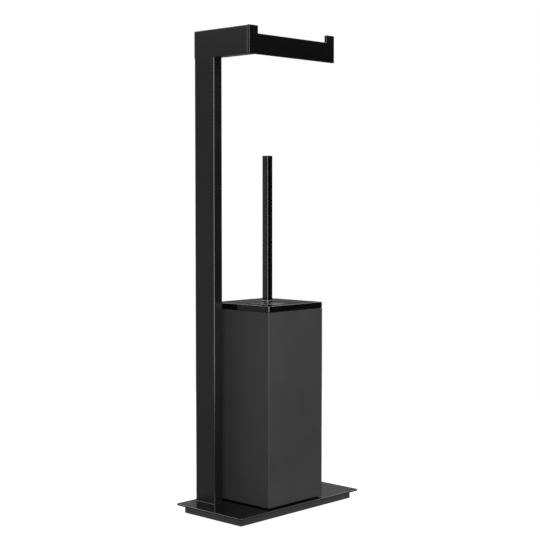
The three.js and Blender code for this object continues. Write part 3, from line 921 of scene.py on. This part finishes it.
def floor():
    """White paper to the eye; to reflections, grey, with a bright border round the base."""
    bpy.ops.object.select_all(action="DESELECT")
    bpy.ops.mesh.primitive_circle_add(vertices=96, radius=FLOOR_RADIUS, fill_type="NGON", location=(0, 0, 0))
    piece = bpy.context.object
    piece.name = "floor"
    material, sheet, shader = finish("floor_paper", Roughness=0.9, Specular_IOR_Level=0.1)
    shader["Emission Color"].default_value = (1, 1, 1, 1)
    shader["Emission Strength"].default_value = VIEW_FLOOR
    place = sheet.node("ShaderNodeTexCoord", output="Object")
    away = sheet.node("ShaderNodeVectorMath", {"operation": "LENGTH"}, {0: place}, output=1)
    fibre = sheet.noise(900, 2)
    sheet.feed(shader["Base Color"], sheet.mix(fibre, (0.20, 0.20, 0.20), (0.24, 0.24, 0.24)))
    split = sheet.node("ShaderNodeSeparateXYZ", sockets={0: place}).socket.node.outputs
    x, y = Wire(sheet, split[0]), Wire(sheet, split[1])
    clear_of_base = (x.math("ABSOLUTE") - cad_high.x).math("MAXIMUM", y.math("ABSOLUTE") - cad_high.y)
    pool = 1 - sheet.between(clear_of_base, *POOL)
    # Beyond the pool the floor is darker at the front right, like the room there.
    outer = 0.31 - 0.15 * sheet.between(x - y, -0.25, 0.25)
    glow = sheet.node("ShaderNodeEmission", sockets={"Strength": outer * (1 - pool) + POOL_GLOW * pool})
    paper = Wire(sheet, sheet.tree.nodes["Principled BSDF"].outputs[0])
    ray = sheet.node("ShaderNodeLightPath", output="Is Camera Ray")
    seen = sheet.node("ShaderNodeMixShader", sockets={0: ray, 1: glow, 2: paper})
    edge = sheet.between(away, 0.6 * FLOOR_RADIUS, 0.98 * FLOOR_RADIUS)
    clear = sheet.node("ShaderNodeBsdfTransparent")
    faded = sheet.node("ShaderNodeMixShader", sockets={0: edge, 1: seen, 2: clear})
    sheet.feed(sheet.tree.nodes["Material Output"].inputs["Surface"], faded)
    piece.data.materials.append(material)


def surroundings():
    """White to the eye; to reflections, a grey room that is dark at the front right and bright above."""
    world = bpy.data.worlds.new("studio")
    bpy.context.scene.world = world
    world.use_nodes = True
    sheet = Sheet(world.node_tree)
    sheet.tree.nodes.clear()
    way = sheet.node("ShaderNodeTexCoord", output="Generated")
    split = sheet.node("ShaderNodeSeparateXYZ", sockets={0: way})
    x, y, z = (Wire(sheet, split.socket.node.outputs[axis]) for axis in range(3))
    turn = y.math("ARCTAN2", x) * (0.5 / math.pi) + 0.5

    def ring(levels):
        ramp = sheet.node("ShaderNodeValToRGB", sockets={0: turn})
        elements = ramp.socket.node.color_ramp.elements
        for degrees, level in levels[1:-1]:
            elements.new(degrees / 360 + 0.5)
        for element, (degrees, level) in zip(elements, levels):
            element.position = degrees / 360 + 0.5
            element.color = (level, level, level, 1)
        return ramp

    above = sheet.between(z, 0.30, 0.75)
    # z is the sine of the elevation. The band darkens just above the horizon and brightens again.
    band = 1 - 0.42 * sheet.between(z, 0.02, 0.08) + 1.1 * sheet.between(z, 0.095, 0.145)
    band = band - 0.28 * sheet.between(z, 0.17, 0.22)
    behind = sheet.between(x + y, -0.4, 0.4) * sheet.between(z, 0.40, 0.62)
    below = sheet.between(z, 0.0, -0.03)
    room = ring(ROOM) * (1 - below) + ring(FAR_FLOOR) * below
    level = room * band + 0.8 * above + 3.2 * behind
    reflected = sheet.node("ShaderNodeBackground", sockets={"Color": (1, 1, 1, 1), "Strength": level})
    seen = sheet.node("ShaderNodeBackground", sockets={"Color": (1, 1, 1, 1), "Strength": 1.0})
    ray = sheet.node("ShaderNodeLightPath", output="Is Camera Ray")
    both = sheet.node("ShaderNodeMixShader", sockets={0: ray, 1: reflected, 2: seen})
    sheet.node("ShaderNodeOutputWorld", sockets={"Surface": both})


def softbox(name, place, target, size, radiance):
    """A rectangular light, bright to reflections but not to the eye."""
    light = bpy.data.lights.new(name, "AREA")
    light.shape = "RECTANGLE"
    light.size, light.size_y = size
    light.energy = radiance * math.pi * size[0] * size[1]
    lamp = bpy.data.objects.new(name, light)
    bpy.context.scene.collection.objects.link(lamp)
    lamp.location = place
    lamp.rotation_mode = "QUATERNION"
    lamp.rotation_quaternion = (Vector(target) - Vector(place)).to_track_quat("-Z", "Y")
    lamp.visible_camera = False


camera()
floor()
surroundings()
softbox("edge_panel", (-0.58, -0.70, 0.44), (0, 0, 0.44), (1.0, 0.84), 6.3)
softbox("key_softbox", (0.10, -1.70, 1.30), (0, 0, 0.2), (1.4, 1.2), 5.5)
bpy.context.scene.view_settings.view_transform = "Standard"
